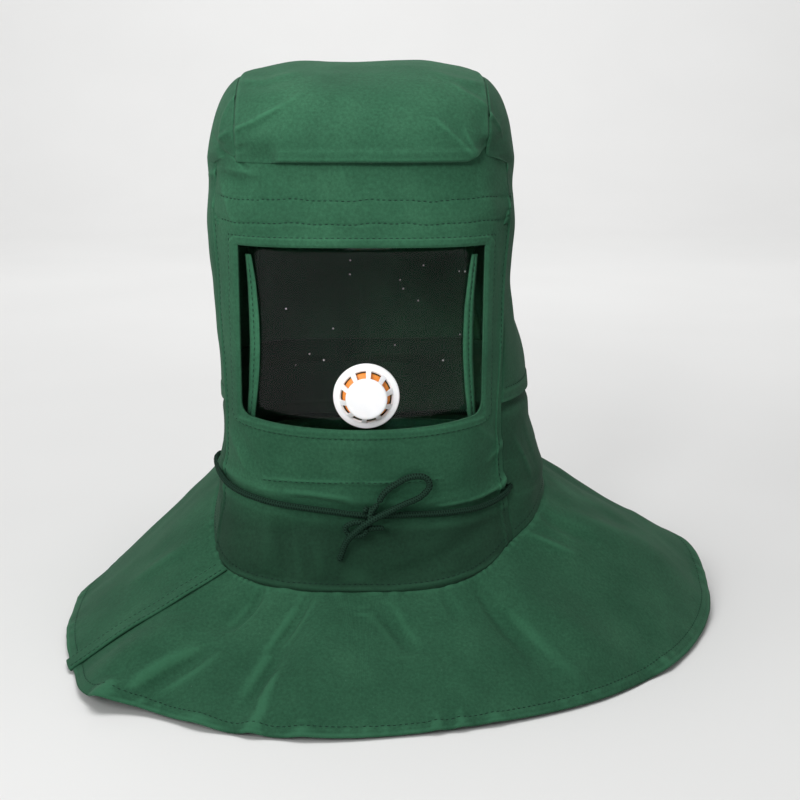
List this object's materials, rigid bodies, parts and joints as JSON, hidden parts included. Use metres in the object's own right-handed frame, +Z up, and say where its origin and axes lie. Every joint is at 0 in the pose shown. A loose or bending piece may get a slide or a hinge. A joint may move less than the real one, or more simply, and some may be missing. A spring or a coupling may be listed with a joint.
{
  "type": "sandblasting hood",
  "caption": "Canvas sandblasting hood with a clear window, a round breather valve, a neck drawcord tied in a bow and a wide shoulder cape.",
  "frame": {"origin": "head seat: the underside of the crown, over the middle of the neck", "axes": "+Z up, -Y out of the window, +X to the right of someone facing the window"},
  "size_m": [0.4538, 0.4321, 0.3826],
  "materials": {
    "canvas": "matte woven cotton canvas",
    "visor_film": "clear, lightly scratched",
    "valve_plastic": "smooth moulded",
    "valve_rubber": "smooth",
    "cord": "braided"
  },
  "bodies": {
    "root": {"crown_panel": "canvas", "side_panel_left": "canvas", "side_panel_right": "canvas", "front_panel": "canvas", "neck_panel": "canvas", "cape": "canvas", "cape_placket": "canvas", "visor": "visor_film", "visor_strip_left": "canvas", "visor_strip_right": "canvas", "valve_body": "valve_plastic", "valve_diaphragm": "valve_rubber", "drawcord": "cord", "drawcord_bow": "cord", "cord_knot": "cord"}
  },
  "joints": []
}
